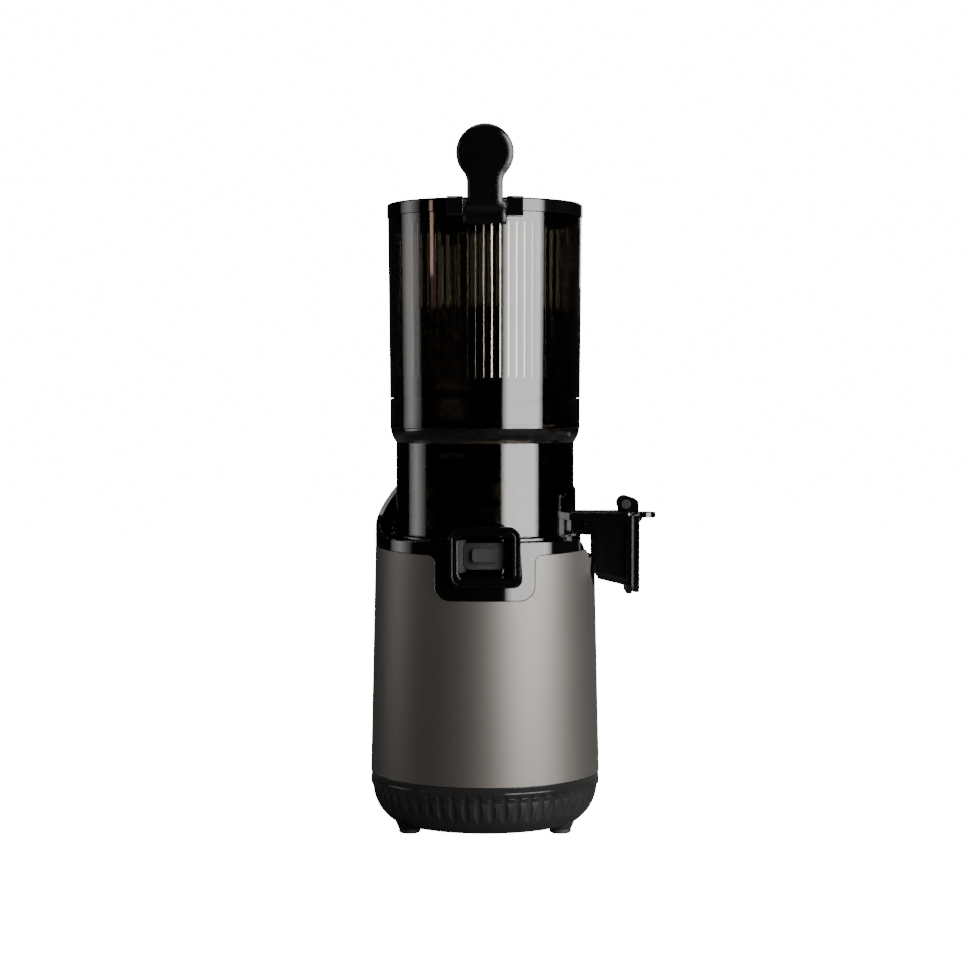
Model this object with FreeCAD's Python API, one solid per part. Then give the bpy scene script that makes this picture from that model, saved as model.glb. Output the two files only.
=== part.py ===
# Cold press juicer: a motor base, a lift-off juicing bowl and a wide hopper with a hinged lid.
# Lengths are in millimetres. +Z is up from the table, the front faces -Y and the juice spout +X.
# Every piece is drawn around the upright axis of the motor, then moved so that the origin lies
# under the middle of the whole machine, spout included.

import FreeCAD, Part
import math
import os

os.makedirs("parts", exist_ok=True)
V = FreeCAD.Vector
ORIGIN = V(0, 0, 0)
UP = V(0, 0, 1)

# Fits shared by many pieces
seam = 0.3  # shadow gap where covers meet
running = 0.06  # radial room around a shaft or pin that turns
room = 0.7  # radial room around a piece that lifts out
cover_wall = 2.8  # moulded walls of the base and collar
clear_wall = 2.6  # walls of the see-through mouldings
slot_wall = 2.2  # walls of the two outlets

# Base housing and feet
foot_count = 3
foot_inset = 5.5  # foot centres inside the floor's rim
foot_height = 5.8
pad_radius = 7.5
pad_height = 3.2
base_inset = 0.4  # inside the metal shell
base_height = 33.4
belly_inset = 14.1
belly_bulge = 3.0
rod_seat = 8.2  # bosses of the tie rods above the base's underside
band_height = 3.6
band_proud = 0.3
flute_count = 56
flute_depth = 1.2
flute_round = 4.0
flute_turn = 13.0  # degrees up the belly's arc from its middle
opening_radius = 46.5
screw_count = 3
band_below = 4.2  # black rim between the gloss band and the shell

# Metal shell
shell_wall = 1.0
shell_bottom_radius = 80.0
shell_taper = 3.6
shell_height = 157.5
shell_tilt = 0.045  # the top edge falls towards the front

# Front and side notches of the shell
front_notch_half = 33.7
notch_drop = 33.1  # below the shell's top edge
front_notch_corner = 9.8
front_notch_flare = 4.7
side_notch_half = 28.3
side_notch_flare = 8.4

# Collar that carries the bowl
collar_front_rise = 6.5  # front rim above the shell
wing_rise = 61.0  # rear wing above the shell
wing_wall = 3.2
wing_sweep = 143.0  # radius of the sweeping edge
wing_start = 50.0  # the sweep starts this far in front of the axis
wing_turn = 44.8  # degrees of the sweep
wing_round = 2.6  # rounding of the wing above the sweep
skirt_depth = 47.0
port_cut_half = 24.8
port_cut_drop = 24.2
port_cut_corner = 5.8
port_cut_flare = 5.0
side_gap_half = 40.0
side_gap_drop = 7.5
well_drop = 20.0  # floor of the bowl's well below the shell's top edge
well_plate = 3.0
ledge_rise = 3.0

# Drive train
shaft_radius = 9.0
hex_flats = 14.0
hex_length = 20.0
gear_module = 1.25
pinion_teeth = 12
wheel_teeth = 48
gear_width = 9.0
gear_backlash = 0.16
gear_case_wall = 3.0
motor_radius = 46.0
rotor_radius = 30.4
rotor_gap = 0.6
stator_height = 50.0
winding_height = 8.0
motor_shaft_radius = 5.0
axle_radius = 3.0  # lay shaft
bearing_wall = 4.5
fan_radius = 34.0
fan_height = 9.0
fan_blades = 9
rod_inset = 12.4  # tie rods inside the shell's top
rod_radius = 2.0

# Bowl
drum_inset = 9.5  # inside the shell's top
drum_height = 28.5
drum_step = 5.0  # clear wall inside the drum
bowl_height = 91.1
bowl_plate = 3.0
hub_radius = 16.0
hub_height = 15.0
seal_wall = 3.6

# Pulp outlet at the front
port_half_width = 23.6
port_half_height = 20.25
port_corner = 8.0
port_centre_rise = -3.45  # above the shell's top edge
port_proud = 3.4  # in front of the shell's top
port_rim_depth = 5.2
port_rim = 5.0
lip_groove = 1.2
duct_half_width = 20.4
duct_half_height = 16.2
pulp_window_half = 14.6
pulp_window_rise = 9.8

# Juice spout at the right
spout_length = 24.5
spout_half_width = 19.0
spout_top_rise = 23.0  # top plate above the shell's top edge
spout_plate = 5.0
spout_clearance = 0.7  # between the duct and the collar
spout_bottom_drop = 22.8
spout_slope = 5.6
neck_half_width = 16.0
neck_height = 15.4
mouth_half_width = 21.5
mouth_drop = 33.3
mouth_flange = 3.5
mouth_corner = 6.0
cap_gasket_thick = 1.7
cap_thick = 3.4
tab_length = 12.5
tab_thick = 3.6
tab_half_width = 9.0
cap_pin_inset = 3.9
cap_pin_rise = 5.7  # above the spout's top plate
cap_pin_radius = 2.0
cap_eye_radius = 5.4
cap_lug_half = 8.0
cap_arm_width = 4.6

# Strainer and auger
strainer_inset = 5.4  # inside the bowl's wall
strainer_height = 71.4
strainer_wall = 3.0
strainer_floor = 2.8
mesh_wall = 0.6
window_count = 10
auger_inset = 5.5  # flight's edge inside the strainer
auger_height = 76.0
auger_core_low = 36.0
auger_core_high = 15.0
flight_pitch = 27.0
flight_turns = 2.2
flight_thick = 5.0
auger_pin_radius = 8.0
auger_pin_length = 16.0
insert_radius = 11.5

# Hopper
flare_height = 9.8
hopper_step = 4.2  # outside the bowl's wall
hopper_base_height = 30.2
tube_step = 0.1
tube_flare = 1.3
tube_height = 124.8
tube_wall = 2.0
rib_count = 72
rib_depth = 0.9
rib_length = 105.0
spigot_height = 6.0
spigot_room = 0.9
throat_inner = 14.5
throat_outer = 53.0
throat_angle = 200.0

# Lid and its hinge
lid_step = 0.6  # outside the tube's top
lid_height = 9.1
lid_plate = 3.0
lid_rim = 3.0
lid_plug = 5.0
plug_room = 1.0
lid_edge = 1.6
lid_pivot_gap = 4.2  # pin behind the lid's rim
lid_pivot_rise = 3.7  # above the lid's lower edge
lid_pin_radius = 1.8
knuckle_radius = 4.2
knuckle_half = 16.6
lug_width = 17.0
lug_drop = 15.0

# Lid lever and its bracket
lever_pivot_gap = 2.4  # pin in front of the lid's rim
lever_pivot_rise = 2.7
lever_pin_radius = 1.5
lever_hub_radius = 4.0
head_radius = 19.25
head_rise = 35.0  # head centre above the pivot
stem_half = 12.0
neck_fillet = 11.0
paddle_thick = 8.0
paddle_edge = 2.4
tongue_half = 14.4
tongue_drop = 12.0
tongue_thick = 4.6
bracket_half = 25.4
bracket_drop = 4.0
lever_recess = 7.1  # room behind the pivot for the tilted lever

# Rear switch and cord inlet
switch_height = 58.0
switch_half_width = 13.5
switch_half_height = 10.5
rocker_half_width = 8.0
rocker_half_height = 7.0
rocker_inset = 7.0
rocker_face = 5.5
rocker_pin_radius = 1.5
gland_height = 20.0
gland_radius = 5.7
gland_bore = 3.6
gland_inset = 0.1

# Radii that follow from the shell
shell_top_radius = shell_bottom_radius - shell_taper
base_radius = shell_bottom_radius - base_inset
floor_radius = base_radius - belly_inset
foot_circle = floor_radius - foot_inset
rod_circle = shell_top_radius - rod_inset
drum_radius = shell_top_radius - drum_inset
bowl_radius = drum_radius - drum_step
port_reach = shell_top_radius + port_proud
spout_inner_radius = shell_top_radius + spout_clearance
spout_reach = spout_inner_radius + spout_length
cap_pin_x = spout_reach - cap_pin_inset
strainer_radius = bowl_radius - strainer_inset
auger_radius = strainer_radius - auger_inset
hopper_base_radius = bowl_radius + hopper_step
tube_bottom_radius = hopper_base_radius + tube_step
tube_top_radius = tube_bottom_radius + tube_flare
tube_bore = tube_bottom_radius - tube_wall
lid_radius = tube_top_radius + lid_step
lid_pivot_reach = lid_radius + lid_pivot_gap
lever_pivot_reach = lid_radius + lever_pivot_gap
rocker_pivot_reach = shell_bottom_radius - rocker_inset
gland_reach = base_radius - gland_inset

# Levels that follow from the sizes above
base_bottom = foot_height
base_top = base_bottom + base_height
shell_bottom = base_top + seam
shell_top = shell_bottom + shell_height
well_floor = shell_top - well_drop
bowl_bottom = well_floor + seam
drum_top = bowl_bottom + drum_height
bowl_floor = bowl_bottom + bowl_plate
bowl_top = bowl_bottom + bowl_height
hopper_bottom = bowl_top + seam
hopper_joint = hopper_bottom + hopper_base_height
tube_bottom = hopper_joint + seam
tube_top = tube_bottom + tube_height
lid_bottom = tube_top + seam
lid_top = lid_bottom + lid_height
lid_pivot_z = lid_bottom + lid_pivot_rise
lever_pivot_z = lid_bottom + lever_pivot_rise
port_centre = shell_top + port_centre_rise
spout_top = shell_top + spout_top_rise
cap_pin_z = spout_top + cap_pin_rise
spout_bottom = shell_top - spout_bottom_drop
mouth_bottom = shell_top - mouth_drop
cap_inner = spout_reach + cap_gasket_thick
cap_outer = cap_inner + cap_thick
machine_shift = (cap_outer + tab_length - shell_bottom_radius) / 2


def shell_radius(z):
    """Outer radius of the metal shell's cone at a height"""
    share = (z - shell_bottom) / shell_height
    return shell_bottom_radius + share * (shell_top_radius - shell_bottom_radius)


def in_xz(point):
    return V(point[0], 0, point[1])


def in_yz(point):
    return V(0, point[0], point[1])


def in_xy(point):
    return V(point[0], point[1], 0)


def bulge(a, b, rise):
    """Point beside the middle of a line, to its right by rise"""
    length = math.hypot(b[0] - a[0], b[1] - a[1])
    side = ((b[1] - a[1]) / length, (a[0] - b[0]) / length)
    return ((a[0] + b[0]) / 2 + side[0] * rise, (a[1] + b[1]) / 2 + side[1] * rise)


def on_circle(centre, radius, degrees):
    angle = math.radians(degrees)
    return (centre[0] + radius * math.cos(angle), centre[1] + radius * math.sin(angle))


def outline(steps, place):
    """Closed face from corner points, where a step of two points is an arc through the first"""
    edges = []
    here = steps[0]
    for step in steps[1:] + [steps[0]]:
        if isinstance(step[0], tuple):
            through, end = step
            edges.append(Part.Arc(place(here), place(through), place(end)).toShape())
            here = end
        elif math.hypot(step[0] - here[0], step[1] - here[1]) > 1e-6:
            edges.append(Part.makeLine(place(here), place(step)))
            here = step
    return Part.Face(Part.Wire(edges))


def revolve(steps):
    return outline(steps, in_xz).revolve(ORIGIN, UP, 360)


def prism_x(steps, x0, x1):
    face = outline(steps, in_yz)
    face.translate(V(x0, 0, 0))
    return face.extrude(V(x1 - x0, 0, 0))


def prism_y(steps, y0, y1):
    face = outline(steps, in_xz)
    face.translate(V(0, y0, 0))
    return face.extrude(V(0, y1 - y0, 0))


def prism_z(steps, z0, z1):
    face = outline(steps, in_xy)
    face.translate(V(0, 0, z0))
    return face.extrude(V(0, 0, z1 - z0))


def box(x0, x1, y0, y1, z0, z1):
    return Part.makeBox(x1 - x0, y1 - y0, z1 - z0, V(x0, y0, z0))


def rod_z(radius, z0, z1, x=0.0, y=0.0):
    return Part.makeCylinder(radius, z1 - z0, V(x, y, z0), UP)


def rod_x(radius, x0, x1, y, z):
    return Part.makeCylinder(radius, x1 - x0, V(x0, y, z), V(1, 0, 0))


def rod_y(radius, y0, y1, x, z):
    return Part.makeCylinder(radius, y1 - y0, V(x, y0, z), V(0, 1, 0))


def ring(outer, inner, z0, z1):
    return rod_z(outer, z0, z1).cut(rod_z(inner, z0 - 1, z1 + 1))


def union(shapes):
    return shapes[0].fuse(shapes[1:]).removeSplitter()


def turned(shape, degrees):
    copy = shape.copy()
    copy.rotate(ORIGIN, UP, degrees)
    return copy


def around(shape, count, start=0.0):
    return [turned(shape, start + 360.0 * i / count) for i in range(count)]


def mirrored_x(shape):
    return shape.mirror(ORIGIN, V(1, 0, 0))


def mirrored_y(shape):
    return shape.mirror(ORIGIN, V(0, 1, 0))


def rounded(centre, half_width, half_height, corner):
    """Rounded rectangle as outline steps"""
    x, z = centre
    w, h, c = half_width, half_height, corner
    k = c * (1 - math.sqrt(0.5))
    return [
        (x - w + c, z - h),
        (x + w - c, z - h),
        ((x + w - k, z - h + k), (x + w, z - h + c)),
        (x + w, z + h - c),
        ((x + w - k, z + h - k), (x + w - c, z + h)),
        (x - w + c, z + h),
        ((x - w + k, z + h - k), (x - w, z + h - c)),
        (x - w, z - h + c),
        ((x - w + k, z - h + k), (x - w + c, z - h)),
    ]


def notch(half, bottom, corner, top, flare, head=60.0):
    """U-shaped opening as outline steps: rounded below, flared at its shoulders"""
    c = min(corner, half - 0.01)
    k = c * (1 - math.sqrt(0.5))
    f = flare * (1 - math.sqrt(0.5))
    return [
        (half - c, bottom),
        ((half - k, bottom + k), (half, bottom + c)),
        (half, top - flare),
        ((half + f, top - f), (half + flare, top)),
        (half + flare, top + head),
        (-half - flare, top + head),
        (-half - flare, top),
        ((-half - f, top - f), (-half, top - flare)),
        (-half, bottom + c),
        ((-half + k, bottom + k), (-half + c, bottom)),
    ]


def save(node, shape):
    """Write one named piece in the machine's shared frame"""
    copy = shape.copy()
    copy.translate(V(-machine_shift, 0, 0))
    copy.exportStep("parts/" + node + ".step")


def above_tilt(rise):
    """Everything above the shell's tilted top edge, raised by rise"""
    reach = 2 * shell_bottom_radius
    low = shell_top + rise - shell_tilt * reach
    high = shell_top + rise + shell_tilt * reach
    crown = shell_top + 2 * reach
    return prism_x([(-reach, low), (reach, high), (reach, crown), (-reach, crown)], -reach, reach)


def front_notch(gap):
    """Front notch of the shell, made smaller all round by gap"""
    top = shell_top - shell_tilt * shell_top_radius * 0.87
    steps = notch(
        front_notch_half - gap,
        shell_top - notch_drop + gap,
        front_notch_corner - gap,
        top,
        front_notch_flare,
    )
    return prism_y(steps, -2 * shell_bottom_radius, 0)


def side_notch(gap):
    """Notch of the shell under the juice spout, made smaller all round by gap"""
    half = side_notch_half - gap
    steps = notch(half, shell_top - notch_drop + gap, half, shell_top, side_notch_flare)
    return prism_x(steps, 0, 2 * shell_bottom_radius)


def foot_places():
    """Foot centres, the first two either side of the front"""
    angles = [-30.0 + 360.0 * i / foot_count for i in range(foot_count)]
    return [on_circle((0, 0), foot_circle, angle) for angle in angles]


def make_base_housing():
    """Black lower housing with a fluted belly, a gloss band and a raised rim inside the shell"""
    band_top = base_top - band_below
    band_bottom = band_top - band_height
    belly_low = (floor_radius, base_bottom)
    belly_high = (base_radius - 1.1, band_bottom - cover_wall)
    inner_high = (belly_high[0] - cover_wall, belly_high[1])
    inner_low = (floor_radius - 1.6, base_bottom + cover_wall)
    rim_radius = shell_bottom_radius - shell_wall - seam
    housing = revolve([
        (opening_radius, base_bottom),
        belly_low,
        (bulge(belly_low, belly_high, belly_bulge), belly_high),
        (base_radius + band_proud, band_bottom),
        (base_radius + band_proud, band_top),
        (base_radius, band_top + band_proud),
        (base_radius, base_top),
        (rim_radius, base_top),
        (rim_radius, base_top + 5.0),
        (inner_high[0], base_top + 5.0),
        inner_high,
        (bulge(inner_high, inner_low, -belly_bulge), inner_low),
        (opening_radius, base_bottom + cover_wall),
    ])
    lugs = []
    for x, y in foot_places():
        lug = Part.makeCone(pad_radius + 0.4, pad_radius + 2.6, base_bottom + cover_wall - pad_height,
                            V(x, y, pad_height), UP)
        lugs.append(lug)
    boss = rod_y(gland_radius + 4, rocker_pivot_reach - 3, gland_reach - 1.6, 0, gland_height)
    inside = revolve([
        (0, base_bottom + cover_wall),
        inner_low,
        (bulge(inner_low, inner_high, belly_bulge), inner_high),
        (inner_high[0], base_top),
        (0, base_top),
    ])
    seats = []
    for x, y in rod_places():
        seat = rod_z(rod_radius + 3.0, base_bottom + 1.0, base_bottom + rod_seat, x, y)
        seats.append(seat.common(inside))
    housing = housing.fuse(lugs + seats + [boss.cut(inside)])
    housing = housing.cut(around(flute_cutter(belly_low, belly_high), flute_count, 180.0 / flute_count))
    bore = rod_y(gland_radius + seam, 0, gland_reach, 0, gland_height)
    flat = rod_y(gland_radius + 4, gland_reach - 1.6, 2 * gland_reach, 0, gland_height)
    return housing.cut([bore, flat])


def flute_cutter(low, high):
    """Straight round bar that leaves a pointed flute where the belly bulges into it"""
    chord = math.hypot(high[0] - low[0], high[1] - low[1])
    bend = chord ** 2 / (8 * belly_bulge) + belly_bulge / 2
    apex = bulge(low, high, belly_bulge)
    centre = bulge(low, high, belly_bulge - bend)
    tilt = math.degrees(math.atan2(apex[1] - centre[1], apex[0] - centre[0])) + flute_turn
    middle = on_circle(centre, bend + flute_round - flute_depth, tilt)
    along = V(-math.sin(math.radians(tilt)), 0, math.cos(math.radians(tilt)))
    start = V(middle[0], 0, middle[1]) - along * chord
    return Part.makeCylinder(flute_round, 2 * chord, start, along)


def make_feet():
    """Rubber pads under the lugs"""
    pads = []
    for x, y in foot_places():
        pad = rod_z(pad_radius, 0, pad_height, x, y)
        pads.append(pad.makeChamfer(0.8, [pad.Edges[2]]))
    return Part.makeCompound(pads)


def make_bottom_cover():
    """Round cover in the base's opening, with a flange below, vents and board pillars"""
    flange_z = base_bottom - 1.6
    disc = ring(opening_radius - seam, 6, base_bottom, base_bottom + cover_wall)
    flange = ring(opening_radius + 2.5, 6, flange_z, base_bottom)
    cover = disc.fuse(flange)
    vent = box(20, 34, -1.5, 1.5, flange_z - 1, base_bottom + cover_wall + 1)
    cover = cover.cut(around(vent, 16, 11.25))
    pillars = []
    for x, y in board_pillars():
        pillars.append(rod_z(3.2, base_bottom + cover_wall - 0.5, board_level(), x, y))
    return cover.fuse(pillars).cut(screw_holes())


def board_level():
    return base_bottom + cover_wall + 3.4


def board_pillars():
    return [(sx * 17.0, sy * 12.0) for sx in (-1, 1) for sy in (-1, 1)]


def post_circle():
    return motor_radius - 6.0


def screw_holes():
    """Holes for the three screws that hold the cover to the motor bracket"""
    hole = rod_z(rod_radius + 0.2, 0, base_top, post_circle(), 0)
    return around(hole, screw_count, 90)


def make_cover_screws():
    head = rod_z(3.6, base_bottom - 3.4, base_bottom - 1.6, post_circle(), 0)
    shank = rod_z(rod_radius, base_bottom - 1.7, base_bottom + 12.0, post_circle(), 0)
    return Part.makeCompound(around(head.fuse(shank), screw_count, 90))


def make_shell():
    """Metal sleeve with a tilted top edge and two notches"""
    shell = revolve([
        (shell_bottom_radius - shell_wall, shell_bottom),
        (shell_bottom_radius, shell_bottom),
        (shell_radius(shell_top + 6), shell_top + 6),
        (shell_radius(shell_top + 6) - shell_wall, shell_top + 6),
    ])
    shell = shell.cut([above_tilt(0), front_notch(0), side_notch(0)])
    window = prism_y(rounded((0, switch_height), switch_half_width, switch_half_height, 3.0), 0,
                     2 * shell_bottom_radius)
    return shell.cut(window)


def wing_cutter():
    """Everything above the collar's sweeping top edge"""
    low = shell_top + collar_front_rise - 0.8
    crest = shell_top + wing_rise
    reach = 1.5 * shell_bottom_radius
    centre = (-wing_start, low + wing_sweep)
    join = on_circle(centre, wing_sweep, wing_turn - 90)
    middle = on_circle(centre, wing_sweep, wing_turn / 2 - 90)
    top = (shell_top_radius - 1.0, crest)
    ridge = bulge(join, top, -wing_round)
    return prism_x([
        (-reach, low),
        (-wing_start, low),
        (middle, join),
        (ridge, top),
        (reach, crest),
        (reach, crest + reach),
        (-reach, crest + reach),
    ], -reach, reach)


def make_collar():
    """Gloss black moulding: skirt and aprons in the shell, a well for the bowl, a rear wing"""
    skirt_bottom = shell_top - skirt_depth
    crest = shell_top + wing_rise + 2
    wing_inner = shell_top_radius - wing_wall
    well_radius = drum_radius + room
    ledge = shell_top + ledge_rise
    floor_under = well_floor - well_plate
    hub = shaft_radius + 3.0
    skirt_inner = shell_radius(skirt_bottom) - shell_wall - seam - cover_wall
    blank = revolve([
        (hub, floor_under),
        (well_radius + cover_wall, floor_under),
        (well_radius + cover_wall, ledge - cover_wall),
        (wing_inner - 1.0, ledge - cover_wall),
        (skirt_inner, skirt_bottom),
        (shell_radius(skirt_bottom), skirt_bottom),
        (shell_top_radius, shell_top),
        (shell_top_radius, crest),
        (wing_inner, crest),
        (wing_inner, ledge),
        (well_radius, ledge),
        (well_radius, well_floor),
        (hub, well_floor),
    ])
    bottom = shell_top - port_cut_drop
    rim = shell_top + collar_front_rise
    annulus = ring(shell_top_radius - 0.4, well_radius, floor_under - 3, ledge - 0.1)
    front_liner = prism_y(notch(port_cut_half + cover_wall, bottom - cover_wall,
                                port_cut_corner + cover_wall, rim, 0.01), -reach_out(), 0)
    side_bottom = shell_top - side_gap_drop
    side_liner = prism_x(notch(side_gap_half + cover_wall, side_bottom - cover_wall, 8.0, rim, 0.01),
                         0, reach_out())
    blank = union([blank, annulus.common(front_liner), annulus.common(side_liner)])
    sleeve = revolve([
        (shell_radius(shell_bottom) - shell_wall - seam, shell_bottom),
        (reach_out(), shell_bottom),
        (reach_out(), shell_top + 6),
        (shell_radius(shell_top + 6) - shell_wall - seam, shell_top + 6),
    ])
    sleeve = sleeve.cut([above_tilt(seam), front_notch(seam), side_notch(seam)])
    port_cut = prism_y(notch(port_cut_half, bottom, port_cut_corner, rim, port_cut_flare),
                       -reach_out(), -duct_start())
    duct_cut = prism_y(notch(duct_half_width + room, port_centre - duct_half_height - room,
                             port_corner - 2.5, rim + 20, 0.01), -reach_out(), -drum_radius * 0.8)
    side_cut = prism_x(notch(side_gap_half, side_bottom, 6.0, rim + 20, 0.01),
                       drum_radius * 0.8, reach_out())
    collar = blank.cut([sleeve, wing_cutter(), port_cut, duct_cut, side_cut])
    for x, y in rod_places():
        boss = rod_z(rod_radius + 2.5, floor_under - 10, floor_under + 0.5, x, y)
        collar = collar.fuse(boss.cut(rod_z(rod_radius + seam, 0, floor_under - 1, x, y)))
    return collar.removeSplitter()


def reach_out():
    return 1.4 * shell_bottom_radius


def duct_start():
    """How far in front of the axis the wide rim of the pulp port begins"""
    return port_reach - port_rim_depth - 2.0


def rod_places():
    return [on_circle((0, 0), rod_circle, 45.0 + 90.0 * i) for i in range(4)]


def make_tie_rods():
    """Four long screws that clamp the shell between the base and the collar"""
    rods = []
    low = base_bottom + rod_seat
    for x, y in rod_places():
        head = rod_z(rod_radius + 1.0, low, low + 3.0, x, y)
        rods.append(head.fuse(rod_z(rod_radius, low + 2, well_floor - 5, x, y)))
    return Part.makeCompound(rods)


def bowl_envelope(grow):
    """Outside of the drum and the clear wall, grown by grow"""
    return revolve([
        (0, bowl_bottom - grow),
        (drum_radius + grow, bowl_bottom - grow),
        (drum_radius + grow, drum_top + grow),
        (bowl_radius + grow, drum_top + grow),
        (bowl_radius + grow, bowl_top),
        (0, bowl_top),
    ])


def make_bowl():
    """See-through bowl: wide drum below, straight wall above, hub for the drive shaft"""
    inner = bowl_radius - clear_wall
    hub_bore = shaft_radius + seal_wall
    bowl = revolve([
        (hub_bore, bowl_bottom),
        (drum_radius - 2.0, bowl_bottom),
        (bulge((drum_radius - 2.0, bowl_bottom), (drum_radius, bowl_bottom + 2.0), 0.8),
         (drum_radius, bowl_bottom + 2.0)),
        (drum_radius, drum_top - 1.2),
        (drum_radius - 1.2, drum_top),
        (bowl_radius, drum_top),
        (bowl_radius, bowl_top),
        (inner, bowl_top),
        (inner, drum_top),
        (drum_radius - clear_wall, drum_top - 3.2),
        (drum_radius - clear_wall, bowl_floor),
        (hub_radius, bowl_floor),
        (hub_radius, bowl_floor + hub_height),
        (hub_bore, bowl_floor + hub_height),
    ])
    window = prism_y(rounded((0, port_centre + 0.5), pulp_window_half, pulp_window_rise, 4.0),
                     -reach_out(), -drum_radius * 0.7)
    half = neck_half_width - slot_wall
    outlet = box(bowl_radius * 0.8, reach_out(), -half, half, drum_top + 0.9, spout_top - slot_wall - 1.2)
    return bowl.cut([window, outlet])


def make_bowl_seal():
    """Silicone ring in the bowl's hub, round the drive shaft"""
    top = bowl_floor + hub_height - 2.0
    outer = shaft_radius + seal_wall
    lip = shaft_radius + running
    return revolve([
        (lip, top - 2),
        (lip + 1.2, top - 4),
        (outer, top - 4),
        (outer, top),
        (lip + 1.2, top),
        (lip, top - 1),
    ])


def make_pulp_outlet():
    """Front port: duct from the drum and a rim with a double lip"""
    back = -duct_start() - 2.0
    rim = prism_y(rounded((0, port_centre), port_half_width, port_half_height, port_corner),
                  -port_reach, back)
    duct = prism_y(rounded((0, port_centre), duct_half_width, duct_half_height, port_corner - 2.5),
                   back, -drum_radius * 0.7)
    body = rim.fuse(duct).cut(bowl_envelope(0.1))
    mouth = prism_y(rounded((0, port_centre), port_half_width - port_rim, port_half_height - port_rim,
                            port_corner - 3.0), -reach_out(), back)
    flow = prism_y(rounded((0, port_centre), duct_half_width - slot_wall, duct_half_height - slot_wall,
                           port_corner - 4.0), -reach_out(), 0)
    outer = rounded((0, port_centre), port_half_width - 1.7, port_half_height - 1.7, port_corner - 1.7)
    inner = rounded((0, port_centre), port_half_width - 3.3, port_half_height - 3.3, port_corner - 3.3)
    groove = prism_y(outer, -port_reach - 1, -port_reach + lip_groove)
    groove = groove.cut(prism_y(inner, -port_reach - 2, -port_reach + lip_groove + 1))
    sill = box(-port_half_width, port_half_width, -reach_out(), -port_reach + 1.0,
               port_centre - port_half_height + 2.4, port_centre - port_half_height + 3.2)
    return body.cut([mouth, flow, groove, sill])


def make_pulp_gate():
    """Silicone valve that closes the drum's window, with a raised pad"""
    half = pulp_window_half - seam
    slab = prism_y(rounded((0, port_centre + 0.5), half, pulp_window_rise - seam, 3.8), -reach_out(), 0)
    skin = slab.common(ring(drum_radius - 0.4, drum_radius - clear_wall + 0.2, bowl_bottom, drum_top - 3.4))
    pad = prism_y(rounded((0, port_centre + 0.7), 8.6, 4.7, 2.4), -drum_radius - 2.4, -drum_radius + 1.6)
    return skin.fuse(pad)


def make_juice_spout():
    """Right outlet: neck, downturned duct shaped round the collar, mouth flange, hinge lug"""
    top = spout_top
    wide = spout_half_width
    body = prism_y([
        (spout_inner_radius * 0.9, spout_bottom),
        (spout_inner_radius, spout_bottom),
        (spout_reach - 8.0, spout_bottom - spout_slope + 1.6),
        (spout_reach - 1, spout_bottom - spout_slope),
        (spout_reach - 1, top - spout_plate),
        (spout_inner_radius * 0.9, top - spout_plate),
    ], -wide, wide)
    body = body.makeFillet(5.0, [e for e in body.Edges if is_lower_side(e)])
    root = bowl_radius * 0.7
    plate = prism_z(rounded(((spout_reach + root) / 2, 0), (spout_reach - root) / 2, wide + 1.0, 3.0),
                    top - spout_plate, top)
    neck = box(bowl_radius * 0.8, spout_inner_radius + 2, -neck_half_width, neck_half_width,
               top - neck_height, top)
    neck = neck.makeFillet(3.0, [e for e in neck.Edges if is_lower_side(e)])
    flange = prism_x(rounded((0, (mouth_bottom + top) / 2), mouth_half_width, (top - mouth_bottom) / 2,
                             mouth_corner), spout_reach - mouth_flange, spout_reach)
    lug = lug_block(cap_pin_x, cap_pin_z, 4.6, top - 0.5, cap_lug_half)
    solid = union([body, plate, neck, flange, lug])
    hollow_wide = wide - slot_wall
    cavity = prism_y([
        (spout_inner_radius + 0.5, spout_bottom + 2.6),
        (spout_reach + 1, spout_bottom - spout_slope + 2.4),
        (spout_reach + 1, top - spout_plate),
        (spout_inner_radius + 0.5, top - spout_plate),
    ], -hollow_wide, hollow_wide)
    half = neck_half_width - slot_wall
    passage = box(bowl_radius * 0.7, spout_inner_radius + 5, -half, half,
                  drum_top + 0.9, top - slot_wall - 1.2)
    body_side = revolve([
        (0, spout_bottom - 30),
        (spout_inner_radius + 3.6, spout_bottom - 20),
        (spout_inner_radius + 2.7, spout_bottom),
        (spout_inner_radius, shell_top - side_gap_drop + 1),
        (spout_inner_radius, top - neck_height),
        (0, top - neck_height),
    ])
    inner_side = revolve([
        (0, spout_bottom - 30),
        (spout_inner_radius + 6.2, spout_bottom - 20),
        (spout_inner_radius + 5.2, spout_bottom),
        (spout_inner_radius + 2.4, shell_top - side_gap_drop + 1),
        (spout_inner_radius + 2.4, top - neck_height + 2),
        (0, top - neck_height + 2),
    ])
    pin_hole = rod_y(cap_pin_radius + 0.02, -cap_lug_half - 1, cap_lug_half + 1, cap_pin_x, cap_pin_z)
    solid = solid.cut([body_side, bowl_envelope(0.1), pin_hole])
    return solid.cut([cavity.cut(inner_side), passage])


def is_lower_side(edge):
    """Long edges along the underside of a duct that runs out from the bowl"""
    bounds = edge.BoundBox
    if bounds.XLength < 5 or bounds.YLength > 0.01:
        return False
    return bounds.ZMin < spout_bottom + 0.1 or abs(bounds.ZMin - (spout_top - neck_height)) < 0.01


def lug_block(x, z, radius, foot, half):
    """Upright hinge lug across Y with a round head"""
    head = rod_y(radius, -half, half, x, z)
    return head.fuse(box(x - radius, x + radius, -half, half, foot, z))


def arm_steps():
    """Teardrop arm of the juice cap, from its eye to the cap's top corner"""
    low = spout_top + seam
    end = cap_outer
    top_of_eye = on_circle((cap_pin_x, cap_pin_z), cap_eye_radius, 66)
    return [
        (cap_pin_x, low),
        (cap_inner, low),
        (cap_inner, spout_top - 3.0),
        (end, spout_top - 3.0),
        (end, cap_pin_z + 1.4),
        (end - 1.2, cap_pin_z + 3.0),
        top_of_eye,
        (cap_pin_x, cap_pin_z),
    ]


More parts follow.
